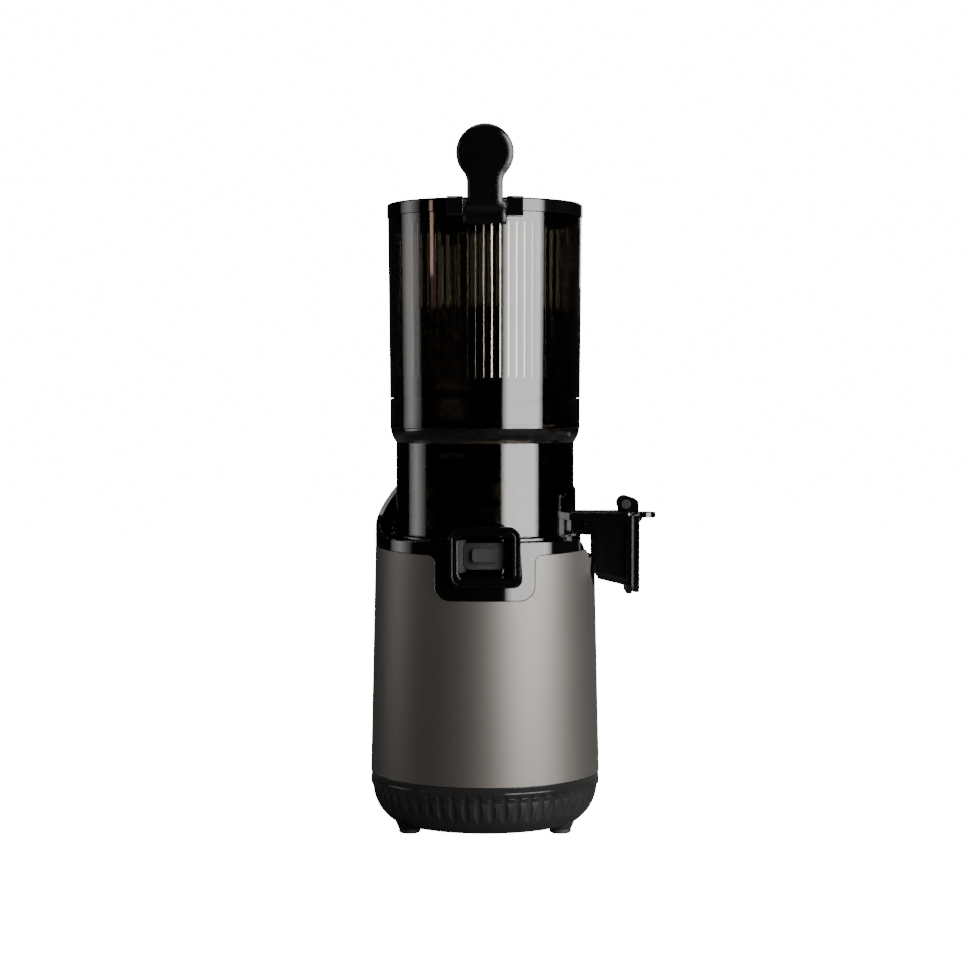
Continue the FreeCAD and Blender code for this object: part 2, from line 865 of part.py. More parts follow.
def make_juice_cap():
    """Flap with a finger tab, hung from two eyes above the spout"""
    top = spout_top - 0.4
    plate = prism_x(rounded((0, (mouth_bottom + 0.9 + top) / 2), mouth_half_width,
                            (top - mouth_bottom - 0.9) / 2, mouth_corner), cap_inner, cap_outer)
    tab_steps = rounded((cap_outer, 0), tab_length, tab_half_width, tab_half_width - 1)
    tab = prism_z(tab_steps, top - tab_thick, top)
    tab = tab.cut(box(0, cap_outer - 1, -50, 50, 0, top + 1))
    fillet = prism_y([
        (cap_outer - 0.5, top - tab_thick + 0.1),
        (cap_outer + 3.0, top - tab_thick + 0.1),
        (bulge((cap_outer + 3.0, top - tab_thick + 0.1), (cap_outer - 0.5, top - tab_thick - 3.4), -0.9),
         (cap_outer - 0.5, top - tab_thick - 3.4)),
    ], -tab_half_width + 1.5, tab_half_width - 1.5)
    near = cap_lug_half + seam
    far = near + cap_arm_width
    arm = prism_y(arm_steps(), near, far).fuse(rod_y(cap_eye_radius, near, far, cap_pin_x, cap_pin_z))
    cap = union([plate, tab, fillet, arm, mirrored_y(arm)])
    return cap.cut(rod_y(cap_pin_radius + running, -50, 50, cap_pin_x, cap_pin_z))


def make_cap_gasket():
    """Pale seal on the inside of the cap"""
    middle = (0, (mouth_bottom + spout_top) / 2)
    half = (spout_top - mouth_bottom) / 2 - 1.6
    outer = prism_x(rounded(middle, mouth_half_width - 1.0, half, mouth_corner - 1),
                    spout_reach + 0.05, cap_inner)
    inner = prism_x(rounded(middle, mouth_half_width - 4.0, half - 3.0, mouth_corner - 3),
                    spout_reach - 1, cap_inner + 1)
    return outer.cut(inner)


def make_cap_pin():
    reach = cap_lug_half + seam + cap_arm_width
    pin = rod_y(cap_pin_radius, -reach - 0.4, reach + 0.4, cap_pin_x, cap_pin_z)
    heads = [rod_y(cap_pin_radius + 1.2, reach + 0.3, reach + 1.5, cap_pin_x, cap_pin_z),
             rod_y(cap_pin_radius + 1.2, -reach - 1.5, -reach - 0.3, cap_pin_x, cap_pin_z)]
    return pin.fuse(heads)


def strainer_base():
    return bowl_floor + seam


def make_strainer_frame():
    """Basket cage with two rows of windows and a floor ring"""
    bottom = strainer_base()
    top = bottom + strainer_height
    inner = strainer_radius - strainer_wall
    cage = revolve([
        (hub_radius + 8.0, bottom),
        (strainer_radius - 1.0, bottom),
        (strainer_radius - 1.0, top - 6.0),
        (strainer_radius + 1.6, top - 5.0),
        (strainer_radius + 1.6, top),
        (inner, top),
        (inner, bottom + strainer_floor),
        (hub_radius + 8.0, bottom + strainer_floor),
    ])
    half = math.pi * inner / window_count - 3.0
    rows = [(bottom + 8.0, bottom + 25.0), (bottom + 29.0, bottom + 46.0), (bottom + 50.0, top - 9.0)]
    cutters = []
    for low, high in rows:
        cutters += around(box(-half, half, -reach_out(), -inner * 0.8, low, high), window_count)
    return cage.cut(cutters).cut(pulp_gap())


def pulp_gap():
    """Way for the pulp out of the basket towards the front port"""
    return prism_y(rounded((0, port_centre + 0.5), pulp_window_half, 9.0, 3.0), -reach_out(),
                   -strainer_radius * 0.7)


def make_strainer_mesh():
    """Fine metal screen inside the cage"""
    outer = strainer_radius - strainer_wall - 0.1
    bottom = strainer_base() + 3.0
    sheet = ring(outer, outer - mesh_wall, bottom, strainer_base() + strainer_height - 1.0)
    return sheet.cut(pulp_gap())


def auger_bottom():
    return strainer_base() + strainer_floor + seam


def hexagon(flats):
    corner = flats / math.sqrt(3)
    return [on_circle((0, 0), corner, 60.0 * i) for i in range(6)]


def hex_bottom():
    return bowl_floor + hub_height + 0.8


def make_auger():
    """Pressing screw: swelling core, one helical flight, a skirt and a top journal"""
    low = auger_bottom()
    high = low + auger_height
    flight_low = low + 5.0
    core = revolve([
        (0, low),
        (auger_radius - 4.0, low),
        (auger_radius - 4.0, low + 2.4),
        (bulge((auger_radius - 4.0, low + 2.4), (auger_core_low, low + 14.0), -2.6),
         (auger_core_low, low + 14.0)),
        (bulge((auger_core_low, low + 14.0), (auger_core_high, high), -4.5), (auger_core_high, high)),
        (auger_pin_radius, high + 1.0),
        (auger_pin_radius, high + auger_pin_length),
        (0, high + auger_pin_length),
    ])
    flight_height = flight_pitch * flight_turns
    middle_radius = (auger_radius + auger_core_high) / 2
    helix = Part.makeHelix(flight_pitch, flight_height, middle_radius)
    helix.translate(V(0, 0, flight_low + flight_thick / 2))
    root = auger_core_high - 4.0
    half = flight_thick / 2
    tip = flight_thick / 4
    mid = flight_low + half
    section = Part.makePolygon([V(root, 0, mid - half), V(auger_radius, 0, mid - tip),
                                V(auger_radius, 0, mid + tip), V(root, 0, mid + half),
                                V(root, 0, mid - half)])
    flight = Part.Wire(helix.Edges).makePipeShell([section], True, True)
    body = core.fuse(flight)
    cavity = rod_z(hub_radius + 0.8, low - 1, hex_bottom())
    bore = rod_z(insert_radius, hex_bottom() - 1, hex_bottom() + hex_length + 2.0)
    return body.cut([cavity, bore])


def make_auger_insert():
    """Metal socket moulded into the auger for the hexagonal shaft"""
    low = hex_bottom() + 0.2
    high = hex_bottom() + hex_length + 2.0
    body = rod_z(insert_radius - 0.05, low, high)
    return body.cut(prism_z(hexagon(hex_flats + 2 * running), low - 1, high - 1.2))


def make_hopper_base():
    """Flared ring with a spigot in the bowl, a throat floor and a bush for the auger"""
    bowl_bore = bowl_radius - clear_wall
    flare = (bowl_radius + seam, hopper_bottom)
    shoulder = (hopper_base_radius - 0.2, hopper_bottom + flare_height)
    spigot = bowl_bore - spigot_room
    floor_low = hopper_bottom + 1.0
    wall_in = hopper_base_radius - 2.9
    rim_out = tube_bore - seam
    base = revolve([
        (0, floor_low),
        (spigot - 2.4, floor_low),
        (spigot - 2.4, hopper_bottom - spigot_height),
        (spigot, hopper_bottom - spigot_height),
        (spigot, hopper_bottom),
        flare,
        (bulge(flare, shoulder, 0.7), shoulder),
        (hopper_base_radius, shoulder[1] + 0.4),
        (hopper_base_radius, hopper_joint),
        (rim_out, hopper_joint),
        (rim_out, hopper_joint + 5.0),
        (rim_out - 2.0, hopper_joint + 5.0),
        (wall_in - 2.0, hopper_joint - 4.0),
        (wall_in - 2.0, hopper_bottom + flare_height + 4.0),
        (spigot - 3.4, floor_low + 3.0),
        (0, floor_low + 3.0),
    ])
    boss = rod_z(auger_pin_radius + 4.5, floor_low - 5.0, floor_low + 9.0)
    base = base.fuse(boss)
    start = -90 - throat_angle / 2
    end = -90 + throat_angle / 2
    sector = [
        on_circle((0, 0), throat_inner, start),
        (on_circle((0, 0), throat_inner, -90), on_circle((0, 0), throat_inner, end)),
        on_circle((0, 0), throat_outer, end),
        (on_circle((0, 0), throat_outer, -90), on_circle((0, 0), throat_outer, start)),
    ]
    throat = prism_z(sector, floor_low - 20, floor_low + 30)
    bush = rod_z(auger_pin_radius + running, floor_low - 20, floor_low + 30)
    groove = ring(bowl_bore, spigot - 0.8, hopper_bottom - 4.0, hopper_bottom - 2.0)
    return base.cut([throat, bush, groove])


def make_hopper_gasket():
    """Ring in the spigot's groove that seals against the bowl"""
    bowl_bore = bowl_radius - clear_wall
    spigot = bowl_bore - spigot_room
    return ring(bowl_bore - 0.1, spigot - 0.75, hopper_bottom - 3.9, hopper_bottom - 2.1)


def make_hopper_tube():
    """Wide see-through tube with fine upright ribs inside and two hinge lugs behind"""
    tube = revolve([
        (0, tube_bottom),
        (tube_bottom_radius, tube_bottom),
        (tube_top_radius, tube_top),
        (0, tube_top),
    ])
    y = lid_pivot_reach
    z = lid_pivot_z
    r = knuckle_radius
    root = tube_bottom_radius - 8.5
    lug = prism_x([
        (root - 4, tube_top - lug_drop),
        (tube_top_radius + 1.0, tube_top - lug_drop + 2.0),
        (y + r, z - 3.0),
        (y + r, z),
        (on_circle((y, z), r, 90), (y - r, z)),
        (y - r, tube_top - 0.4),
        (root - 4, tube_top - 0.4),
    ], knuckle_half + seam, knuckle_half + seam + lug_width)
    lug = lug.cut(ring(lid_radius + 0.6, 1, tube_top - 0.2, lid_top + 5))
    tube = tube.fuse([lug, mirrored_x(lug)])
    tube = tube.cut(rod_z(tube_bore, tube_bottom - 1, tube_bottom + 14.0))
    ribs_low = tube_bottom + 13.0
    ribs_high = ribs_low + rib_length
    steps = []
    pitch = 360.0 / rib_count
    rib_half = 0.28 * pitch
    for i in range(rib_count):
        a = i * pitch
        steps += [on_circle((0, 0), tube_bore, a - rib_half),
                  on_circle((0, 0), tube_bore - rib_depth, a - rib_half / 3),
                  on_circle((0, 0), tube_bore - rib_depth, a + rib_half / 3),
                  on_circle((0, 0), tube_bore, a + rib_half)]
    ribbed = prism_z(steps, ribs_low, ribs_high)
    tube = tube.cut([ribbed, rod_z(tube_bore, ribs_high, tube_top + 1)])
    return tube.cut(rod_x(lid_pin_radius + 0.02, -lid_radius, lid_radius, y, z))


def make_lid():
    """Shallow gloss lid with a plug ring, a rear knuckle and a front bracket for the lever"""
    plug = tube_bore - plug_room
    lid = revolve([
        (0, lid_top - lid_plate),
        (plug - 2.2, lid_top - lid_plate),
        (plug - 2.2, lid_bottom - lid_plug),
        (plug, lid_bottom - lid_plug),
        (plug, lid_bottom + 2.6),
        (lid_radius - lid_rim, lid_bottom + 2.6),
        (lid_radius - lid_rim, lid_bottom),
        (lid_radius, lid_bottom),
        (lid_radius, lid_top - lid_edge),
        (bulge((lid_radius, lid_top - lid_edge), (lid_radius - lid_edge, lid_top), 0.3 * lid_edge),
         (lid_radius - lid_edge, lid_top)),
        (0, lid_top),
    ])
    y = lid_pivot_reach
    knuckle = rod_x(knuckle_radius, -knuckle_half, knuckle_half, y, lid_pivot_z)
    web = box(-knuckle_half, knuckle_half, lid_radius - 3.2, y, lid_pivot_z - 1.2, lid_top - 2.2)
    web = web.cut(rod_z(lid_radius - 2.9, 0, lid_top + 10))
    recess_back = -(lever_pivot_reach - lever_recess)
    ear_in = tongue_half + seam
    ear_front = -(lever_pivot_reach + 3.4)
    ear = prism_x([
        (recess_back, lid_bottom - bracket_drop),
        (ear_front + 1.2, lid_bottom - bracket_drop),
        (ear_front, lid_bottom - bracket_drop + 1.2),
        (ear_front, lid_top - 1.6),
        (ear_front + 1.6, lid_top),
        (recess_back, lid_top),
    ], ear_in, bracket_half)
    ear = ear.cut(rod_z(tube_top_radius + 0.6, lid_bottom - 30, lid_bottom))
    recess = box(-ear_in, ear_in, -reach_out(), recess_back, lid_bottom - 20, lid_top + 20)
    lid = union([lid, knuckle, web]).cut(recess)
    lid = union([lid, ear, mirrored_x(ear)])
    rear_hole = rod_x(lid_pin_radius + running, -lid_radius, lid_radius, y, lid_pivot_z)
    front_hole = rod_x(lever_pin_radius + 0.02, -bracket_half + 2.5, bracket_half - 2.5,
                       -lever_pivot_reach, lever_pivot_z)
    return lid.cut([rear_hole, front_hole])


def make_lid_gasket():
    """Soft ring round the lid's plug"""
    plug = tube_bore - plug_room
    return ring(plug + 0.6, plug + 0.02, lid_bottom - 3.6, lid_bottom - 1.6)


def make_lid_pin():
    reach = knuckle_half + seam + lug_width
    pin = rod_x(lid_pin_radius, -reach - 0.4, reach + 0.4, lid_pivot_reach, lid_pivot_z)
    heads = [rod_x(lid_pin_radius + 1.0, reach + 0.2, reach + 1.4, lid_pivot_reach, lid_pivot_z),
             rod_x(lid_pin_radius + 1.0, -reach - 1.4, -reach - 0.2, lid_pivot_reach, lid_pivot_z)]
    return pin.fuse(heads)


def make_lever():
    """Keyhole-shaped paddle with a hub between the bracket's ears and a tongue below"""
    centre = lever_pivot_z + head_rise
    reach = head_radius + neck_fillet
    rise = math.sqrt(reach ** 2 - (stem_half + neck_fillet) ** 2)
    fillet_z = centre - rise
    share = head_radius / reach
    touch = ((stem_half + neck_fillet) * share, centre - rise * share)
    turn = math.degrees(math.atan2(touch[1] - fillet_z, touch[0] - stem_half - neck_fillet))
    through = on_circle((stem_half + neck_fillet, fillet_z), neck_fillet, (turn + 180) / 2)
    foot = lever_pivot_z - 1.0
    steps = [
        (-stem_half, foot),
        (stem_half, foot),
        (stem_half, fillet_z),
        (through, touch),
        ((0, centre + head_radius), (-touch[0], touch[1])),
        ((-through[0], through[1]), (-stem_half, fillet_z)),
    ]
    front = -lever_pivot_reach - paddle_thick / 2
    paddle = prism_y(steps, front, front + paddle_thick)
    outer_edges = [e for e in paddle.Edges if e.BoundBox.YLength < 0.01 and e.BoundBox.ZMax > foot + 1]
    paddle = paddle.makeFillet(paddle_edge, outer_edges)
    hub = rod_x(lever_hub_radius, -tongue_half, tongue_half, -lever_pivot_reach, lever_pivot_z)
    wall = -(tube_top_radius + 0.8)
    tongue = prism_x([
        (wall, lever_pivot_z - tongue_drop),
        (wall - tongue_thick + 1.0, lever_pivot_z - tongue_drop),
        (wall - tongue_thick, lever_pivot_z - tongue_drop + 1.0),
        (wall - tongue_thick, lever_pivot_z),
        (wall, lever_pivot_z),
    ], -tongue_half, tongue_half)
    lever = union([paddle, hub, tongue])
    bore = rod_x(lever_pin_radius + running, -lid_radius, lid_radius, -lever_pivot_reach, lever_pivot_z)
    return lever.cut(bore)


def make_lever_pin():
    reach = bracket_half - 2.6
    return rod_x(lever_pin_radius, -reach, reach, -lever_pivot_reach, lever_pivot_z)


def gear(teeth, low, high, bore, turn):
    """Spur gear with straight-sided teeth; turn is the angle of the first tooth in degrees"""
    pitch_radius = gear_module * teeth / 2
    tip = pitch_radius + 0.85 * gear_module
    root = pitch_radius - 1.1 * gear_module
    half = math.pi * gear_module / 4 * (1 - gear_backlash)
    tip_half = math.degrees((half - 0.85 * gear_module * math.tan(math.radians(20))) / tip)
    root_half = math.degrees((half + 0.75 * gear_module * math.tan(math.radians(20))) / root)
    points = []
    for i in range(teeth):
        a = turn + 360.0 * i / teeth
        points += [on_circle((0, 0), root, a - root_half), on_circle((0, 0), tip, a - tip_half),
                   on_circle((0, 0), tip, a + tip_half), on_circle((0, 0), root, a + root_half)]
    blank = prism_z(points, low, high)
    if bore > 0:
        blank = blank.cut(rod_z(bore, low - 1, high + 1))
    return blank


def centre_distance():
    return gear_module * (pinion_teeth + wheel_teeth) / 2


def case_top():
    return well_floor - well_plate - 10.0


def case_floor():
    return case_top() - 2 * gear_case_wall - 2 * gear_width - 7.0


def stage_levels():
    """Lower faces of the first and second gear stages"""
    first = case_floor() + gear_case_wall + 1.5
    return first, first + gear_width + 2.5


def case_outline(radius):
    """Egg shape round the two gear axes"""
    x = centre_distance()
    return [
        (0, -radius),
        (x, -radius),
        ((x + radius, 0), (x, radius)),
        (0, radius),
        ((-radius, 0), (0, -radius)),
    ]


def case_inner_radius():
    return gear_module * (wheel_teeth / 2 + 0.85) + 0.8


def make_gear_case():
    """Cast lower half of the gearbox, with bosses for the two lower bearings"""
    low = case_floor()
    high = case_top() - gear_case_wall
    inner = case_inner_radius()
    body = prism_z(case_outline(inner + gear_case_wall), low, high)
    body = body.cut(prism_z(case_outline(inner), low + gear_case_wall, high + 1))
    body = body.cut(rod_z(motor_shaft_radius + 1.0, low - 1, high))
    return body.cut(rod_z(axle_radius + running, low + 1.2, high, centre_distance(), 0))


def make_gear_lid():
    """Upper half of the gearbox with the bearing seat of the drive shaft"""
    low = case_top() - gear_case_wall
    top = case_top()
    inner = case_inner_radius()
    plate = prism_z(case_outline(inner + gear_case_wall), low, top)
    seat = rod_z(shaft_radius + 7.5, top - 0.5, top + 7.0)
    plate = plate.fuse(seat)
    plate = plate.cut(rod_z(shaft_radius + bearing_wall, low - 1, top + 8))
    plate = plate.cut(rod_z(axle_radius + running, low - 1, top - 1.2, centre_distance(), 0))
    pillars = []
    for sx, sy in ((0, 1), (0, -1)):
        pillars.append(rod_z(3.5, top - 0.5, well_floor - well_plate, sx * 10, sy * (inner - 1)))
    return plate.fuse(pillars)


def make_lay_gear():
    """Lay shaft: large wheel driven by the motor, small pinion that drives the output"""
    first, second = stage_levels()
    wheel = gear(wheel_teeth, first, first + gear_width, 0, 180.0 / wheel_teeth)
    pinion = gear(pinion_teeth, second, second + gear_width, 0, 0)
    shaft = rod_z(axle_radius, case_floor() + 1.5, case_top() - 1.5)
    hub = rod_z(6.0, first + gear_width - 0.5, second + 0.5)
    holes = around(rod_z(5.0, first - 1, first + gear_width + 1, 18.0, 0), 6, 30)
    piece = union([wheel.cut(holes), pinion, shaft, hub])
    piece.translate(V(centre_distance(), 0, 0))
    return piece


def make_output_gear():
    second = stage_levels()[1]
    body = gear(wheel_teeth, second, second + gear_width, shaft_radius - 2.0, 180.0 - 180.0 / wheel_teeth)
    return body.cut(around(rod_z(4.5, second - 1, second + gear_width + 1, 18.0, 0), 6, 30))


def make_drive_shaft():
    """Steel shaft: seat in the output gear, journal through the seals, hexagonal top"""
    second = stage_levels()[1]
    foot = rod_z(shaft_radius - 2.02, second, second + gear_width + 0.1)
    body = rod_z(shaft_radius, second + gear_width + 0.1, hex_bottom() - 0.4)
    flats = prism_z(hexagon(hex_flats), hex_bottom() - 0.4, hex_bottom() + hex_length)
    return union([foot, body, flats])


def make_drive_bearing():
    """Ball bearing of the drive shaft, as its outer and inner rings in one piece"""
    low = case_top() - gear_case_wall + 0.2
    outer = shaft_radius + bearing_wall - 0.02
    body = ring(outer, shaft_radius + running, low, case_top() + 6.8)
    groove = ring(outer - 1.4, shaft_radius + 1.6, case_top() + 6.0, case_top() + 7.0)
    return body.cut(groove)


def make_shaft_seal():
    """Rubber seal in the floor of the bowl's well"""
    outer = shaft_radius + 3.0
    lip = shaft_radius + running
    low = well_floor - well_plate
    return revolve([
        (lip, low), (outer - 0.02, low), (outer - 0.02, well_floor), (outer - 1.2, well_floor + 1.6),
        (lip, well_floor + 1.6), (lip, low + 3.0), (lip + 1.0, low + 2.0), (lip, low + 1.0),
    ])


def stator_low():
    return case_floor() - winding_height - stator_height - 4.0


def make_stator():
    """Ring of laminations with slots that hold the windings"""
    low = stator_low()
    body = ring(motor_radius, rotor_radius + rotor_gap, low, low + stator_height)
    flat = box(motor_radius - 2.0, motor_radius + 5, -60, 60, low - 1, low + stator_height + 1)
    return body.cut(around(flat, 4, 45))


def make_windings():
    """Copper end turns above and below the laminations"""
    low = stator_low()
    high = low + stator_height
    middle = (rotor_radius + motor_radius) / 2
    coils = []
    for z in (low - winding_height + 1.0, high):
        torus = ring(middle + 5.0, middle - 5.5, z, z + winding_height - 1.0)
        coils.append(torus.makeFillet(2.5, torus.Edges[:1]))
    return Part.makeCompound(coils)


def make_rotor():
    """Rotor, its shaft and the motor pinion"""
    low = stator_low()
    first = stage_levels()[0]
    core = rod_z(rotor_radius, low + 1.0, low + stator_height - 1.0)
    shaft = rod_z(motor_shaft_radius, fan_level() - 1.0, first + 0.5)
    pinion = gear(pinion_teeth, first, first + gear_width, 0, 0)
    return union([core, shaft, pinion])


def fan_level():
    return board_level() + 8.0


def make_fan():
    """Radial cooling fan on the lower end of the motor shaft"""
    z = fan_level()
    hub = ring(12.0, motor_shaft_radius + 0.02, z, z + fan_height)
    disc = ring(fan_radius, motor_shaft_radius + 0.02, z + fan_height - 1.6, z + fan_height)
    blade = box(11.0, fan_radius - 1.0, -0.8, 0.8, z, z + fan_height - 1.0)
    blade.rotate(V(11, 0, z), UP, 18)
    return union([hub, disc] + around(blade, fan_blades))


def make_motor_bracket():
    """Lower end frame of the motor on three posts, with its bearing seat"""
    low = stator_low() - winding_height - 5.0
    plate = ring(motor_radius, motor_shaft_radius + 6.0, low, low + 3.5)
    hole = rod_z(6.5, low - 1, low + 5, 26.0, 0)
    plate = plate.cut(around(hole, 9, 20))
    rim = ring(motor_radius, motor_radius - 2.0, low + 3.0, stator_low() + 2.0)
    rim = rim.cut(ring(motor_radius + 1, rotor_radius, stator_low(), stator_low() + 3.0))
    post = rod_z(4.0, base_bottom + cover_wall, low + 0.5, post_circle(), 0)
    frame = union([plate, rim] + around(post, screw_count, 90))
    return frame.cut(screw_holes())


def make_motor_bearings():
    """Bearings of the motor shaft, in the end frame and under the gearbox"""
    low = stator_low() - winding_height - 5.0
    inner = motor_shaft_radius + running
    lower = ring(motor_shaft_radius + 5.95, inner, low, low + 4.5)
    upper = ring(motor_shaft_radius + bearing_wall, inner, case_floor() - 4.2, case_floor() - 0.05)
    return Part.makeCompound([lower, upper])


def make_motor_cap():
    """Upper end frame that hangs the motor under the gearbox"""
    top = case_floor()
    stator_high = stator_low() + stator_height
    plate = ring(motor_radius, motor_shaft_radius + 4.6, top - 3.0, top)
    rim = ring(motor_radius, motor_radius - 2.0, stator_high, top - 2.5)
    return plate.fuse(rim).cut(around(rod_z(5.0, top - 5, top + 1, 24.0, 0), 8))


def make_board():
    """Motor control board with its largest parts"""
    z = board_level()
    plate = box(-24, 24, -18, 18, z, z + 1.6)
    parts = [box(-20, -8, -12, 2, z + 1.5, z + 6.0), box(4, 16, 4, 14, z + 1.5, z + 5.0),
             rod_z(4.0, z + 1.5, z + 6.5, 10, -8)]
    return union([plate] + parts)


def make_safety_switch():
    """Micro switch under the well, worked by the seated bowl"""
    top = well_floor - well_plate
    return union([box(-10, 10, 52, 59, top - 11, top), box(-10, 6, 51.5, 52.5, top - 13, top - 10)])


def make_bezel():
    """Frame of the power switch, flush with the shell"""
    steps = rounded((0, switch_height), switch_half_width - 0.2, switch_half_height - 0.2, 2.8)
    frame = prism_y(steps, rocker_pivot_reach - 6, reach_out())
    frame = frame.common(rod_z(shell_radius(switch_height) - 0.1, 0, shell_top))
    frame = frame.cut(box(-rocker_half_width - seam, rocker_half_width + seam, rocker_pivot_reach - 4.5,
                          reach_out(), switch_height - rocker_half_height - 1.5,
                          switch_height + rocker_half_height + 1.5))
    return frame.cut(rod_x(rocker_pin_radius + running, -rocker_half_width - 2.2, rocker_half_width + 2.2,
                           rocker_pivot_reach, switch_height))


def make_rocker():
    """Three-position rocker: forward, off and reverse"""
    y = rocker_pivot_reach
    z = switch_height
    face = y + rocker_face
    body = prism_x([
        (y - 2.0, z - 3.0),
        (face - 0.2, z - rocker_half_height),
        (bulge((face - 0.2, z - rocker_half_height), (face - 0.2, z + rocker_half_height), -1.2),
         (face - 0.2, z + rocker_half_height)),
        (y - 2.0, z + 3.0),
    ], -rocker_half_width, rocker_half_width)
    pivot = rod_x(rocker_pin_radius, -rocker_half_width - 2.0, rocker_half_width + 2.0, y, z)
    return body.fuse(pivot)


def make_gland():
    """Bush where the mains lead enters at the rear"""
    body = rod_y(gland_radius, rocker_pivot_reach - 6, gland_reach, 0, gland_height)
    flange = rod_y(gland_radius + 2.2, gland_reach - 1.5, gland_reach, 0, gland_height)
    return body.fuse(flange).cut(rod_y(gland_bore, 0, gland_reach + 1, 0, gland_height))


pieces = {
    "base_housing": make_base_housing,
    "rubber_feet": make_feet,
    "bottom_cover": make_bottom_cover,
    "cover_screws": make_cover_screws,
    "outer_shell": make_shell,
    "top_collar": make_collar,
    "tie_rods": make_tie_rods,
    "motor_bracket": make_motor_bracket,
    "motor_cap": make_motor_cap,
    "motor_bearings": make_motor_bearings,
    "motor_stator": make_stator,
    "motor_windings": make_windings,
    "motor_rotor": make_rotor,
    "cooling_fan": make_fan,
    "gearbox_case": make_gear_case,
    "gearbox_lid": make_gear_lid,
    "lay_gear": make_lay_gear,
    "output_gear": make_output_gear,
    "drive_shaft": make_drive_shaft,
    "drive_bearing": make_drive_bearing,
    "shaft_seal": make_shaft_seal,
    "control_board": make_board,
    "safety_switch": make_safety_switch,
    "switch_bezel": make_bezel,
    "rocker_switch": make_rocker,
    "cord_gland": make_gland,
    "juicing_bowl": make_bowl,
    "bowl_seal": make_bowl_seal,
    "pulp_outlet": make_pulp_outlet,
    "pulp_gate": make_pulp_gate,
    "juice_spout": make_juice_spout,
    "juice_cap": make_juice_cap,
    "cap_gasket": make_cap_gasket,
    "cap_pin": make_cap_pin,
    "strainer_frame": make_strainer_frame,
    "strainer_mesh": make_strainer_mesh,
    "auger": make_auger,
    "auger_insert": make_auger_insert,
    "hopper_base": make_hopper_base,
    "hopper_gasket": make_hopper_gasket,
    "hopper_tube": make_hopper_tube,
    "lid": make_lid,
    "lid_gasket": make_lid_gasket,
    "lid_pin": make_lid_pin,
    "lid_lever": make_lever,
    "lever_pin": make_lever_pin,
}

for node, make in pieces.items():
    save(node, make())
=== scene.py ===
import math

import bpy
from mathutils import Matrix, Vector


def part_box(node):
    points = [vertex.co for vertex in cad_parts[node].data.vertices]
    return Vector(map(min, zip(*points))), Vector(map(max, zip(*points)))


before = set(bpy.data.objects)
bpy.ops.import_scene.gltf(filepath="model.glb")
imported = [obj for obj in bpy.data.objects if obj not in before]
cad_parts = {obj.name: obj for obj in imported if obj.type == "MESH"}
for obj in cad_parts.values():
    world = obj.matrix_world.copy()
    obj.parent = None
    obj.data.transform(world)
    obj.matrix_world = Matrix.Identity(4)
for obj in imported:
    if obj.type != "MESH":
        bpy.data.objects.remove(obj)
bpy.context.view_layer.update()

# Places and sizes are in metres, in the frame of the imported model.
# The machine's upright axis is the middle of the lid.
LID_LOW, LID_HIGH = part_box("hopper_tube")
AXIS_X = (LID_LOW[0] + LID_HIGH[0]) / 2

# The camera stands in front of the axis and looks slightly down.
CAMERA_DISTANCE = 1.536
CAMERA_HEIGHT = 0.3044
CAMERA_PITCH = 2.472
CAMERA_LENS = 81.53
SENSOR_WIDTH = 36.0

SMOKE_TINT = (0.11, 0.095, 0.080)
POLISHED_LEVEL = 0.0314  # the base is polished above this level
SCREEN_ROWS = 3900.0  # radians of the row pattern per metre of height
SCREEN_COLUMNS = 210.0  # waves of the column pattern round the axis


# Node helpers

def join(tree, source, target):
    tree.links.new(source, target)


def object_place(tree):
    """Place on the object, in metres"""
    return tree.nodes.new("ShaderNodeTexCoord").outputs["Object"]


def split_place(tree):
    """The X, Y and Z of the place on the object"""
    parts = tree.nodes.new("ShaderNodeSeparateXYZ")
    join(tree, object_place(tree), parts.inputs["Vector"])
    return parts.outputs


def sums(tree, operation, first, second):
    """Math node whose two terms are sockets or plain numbers"""
    made = tree.nodes.new("ShaderNodeMath")
    made.operation = operation
    for socket, term in zip(made.inputs, (first, second)):
        if isinstance(term, (int, float)):
            socket.default_value = term
        else:
            join(tree, term, socket)
    return made.outputs[0]


def spread(tree, source, low, high, to_low=0.0, to_high=1.0):
    """Stretches the part of a value between low and high"""
    made = tree.nodes.new("ShaderNodeMapRange")
    join(tree, source, made.inputs["Value"])
    made.inputs["From Min"].default_value = low
    made.inputs["From Max"].default_value = high
    made.inputs["To Min"].default_value = to_low
    made.inputs["To Max"].default_value = to_high
    return made.outputs["Result"]


def blend_colours(tree, share, first, second):
    made = tree.nodes.new("ShaderNodeMix")
    made.data_type = "RGBA"
    join(tree, share, made.inputs["Factor"])
    for name, colour in (("A", first), ("B", second)):
        socket = [s for s in made.inputs if s.name == name and s.type == "RGBA"][0]
        if isinstance(colour, tuple):
            socket.default_value = (*colour, 1.0)
        else:
            join(tree, colour, socket)
    return [s for s in made.outputs if s.type == "RGBA"][0]


def new_group(name, inputs, outputs):
    """Shader node group with named number inputs and outputs"""
    tree = bpy.data.node_groups.new(name, "ShaderNodeTree")
    for label, value in inputs.items():
        socket = tree.interface.new_socket(label, in_out="INPUT", socket_type="NodeSocketFloat")
        socket.default_value = value
    for label in outputs:
        tree.interface.new_socket(label, in_out="OUTPUT", socket_type="NodeSocketFloat")
    start = tree.nodes.new("NodeGroupInput")
    end = tree.nodes.new("NodeGroupOutput")
    place = object_place(tree)
    return tree, start, end, place


def noise(tree, place, scale, detail=2.0, roughness=0.5):
    made = tree.nodes.new("ShaderNodeTexNoise")
    join(tree, place, made.inputs["Vector"])
    if isinstance(scale, (int, float)):
        made.inputs["Scale"].default_value = scale
    else:
        join(tree, scale, made.inputs["Scale"])
    made.inputs["Detail"].default_value = detail
    made.inputs["Roughness"].default_value = roughness
    return made.outputs["Fac"]


# Effects that several finishes share

